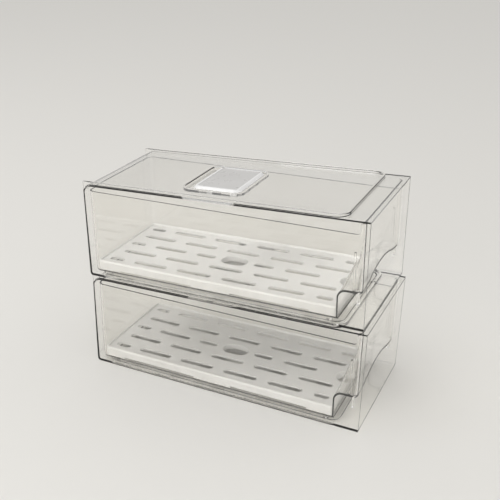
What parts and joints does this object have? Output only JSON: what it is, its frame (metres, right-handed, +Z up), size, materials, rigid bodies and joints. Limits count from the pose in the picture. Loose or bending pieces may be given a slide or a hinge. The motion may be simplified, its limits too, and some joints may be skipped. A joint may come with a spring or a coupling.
{
  "type": "fridge drawer organizer",
  "caption": "Stacked clear fridge storage units, each a tapered sleeve that holds a pull-out drawer with a finger notch, a slotted drain tray and a sliding top vent.",
  "frame": {"origin": "centre of the flat face that the lower unit stands on", "axes": "+X is the way the drawers pull out, +Y is across the units, +Z is up"},
  "size_m": [0.3253, 0.146, 0.2345],
  "materials": {
    "clear_case": "gloss",
    "clear_drawer": "gloss",
    "white_tray": "satin",
    "white_slider": "satin"
  },
  "bodies": {
    "lower_case": {"lower_case": "clear_case"},
    "lower_drawer": {"lower_drawer": "clear_drawer"},
    "lower_drain_tray": {"lower_drain_tray": "white_tray"},
    "lower_vent_slider": {"lower_vent_slider": "white_slider"},
    "upper_case": {"upper_case": "clear_case"},
    "upper_drawer": {"upper_drawer": "clear_drawer"},
    "upper_drain_tray": {"upper_drain_tray": "white_tray"},
    "upper_vent_slider": {"upper_vent_slider": "white_slider"}
  },
  "joints": [
    {"name": "lower_drawer_slide", "type": "slide", "parent": "lower_case", "child": "lower_drawer", "axis": [1, 0, 0], "range_m": [0, 0.25]},
    {"name": "lower_tray_lift", "type": "slide", "parent": "lower_drawer", "child": "lower_drain_tray", "axis": [0, 0, 1], "range_m": [0, 0.074]},
    {"name": "lower_vent_slide", "type": "slide", "parent": "lower_case", "child": "lower_vent_slider", "axis": [-0.9997, 0, -0.025], "range_m": [0, 0.009]},
    {"name": "upper_drawer_slide", "type": "slide", "parent": "upper_case", "child": "upper_drawer", "axis": [0.9997, 0, 0.025], "range_m": [0, 0.25]},
    {"name": "upper_tray_lift", "type": "slide", "parent": "upper_drawer", "child": "upper_drain_tray", "axis": [-0.025, 0, 0.9997], "range_m": [0, 0.074]},
    {"name": "upper_vent_slide", "type": "slide", "parent": "upper_case", "child": "upper_vent_slider", "axis": [-0.9988, 0, -0.05], "range_m": [0, 0.009]},
    {"name": "upper_unit_lift", "type": "slide", "parent": "lower_case", "child": "upper_case", "axis": [-0.025, 0, 0.9997], "range_m": [0, 0.05]}
  ]
}
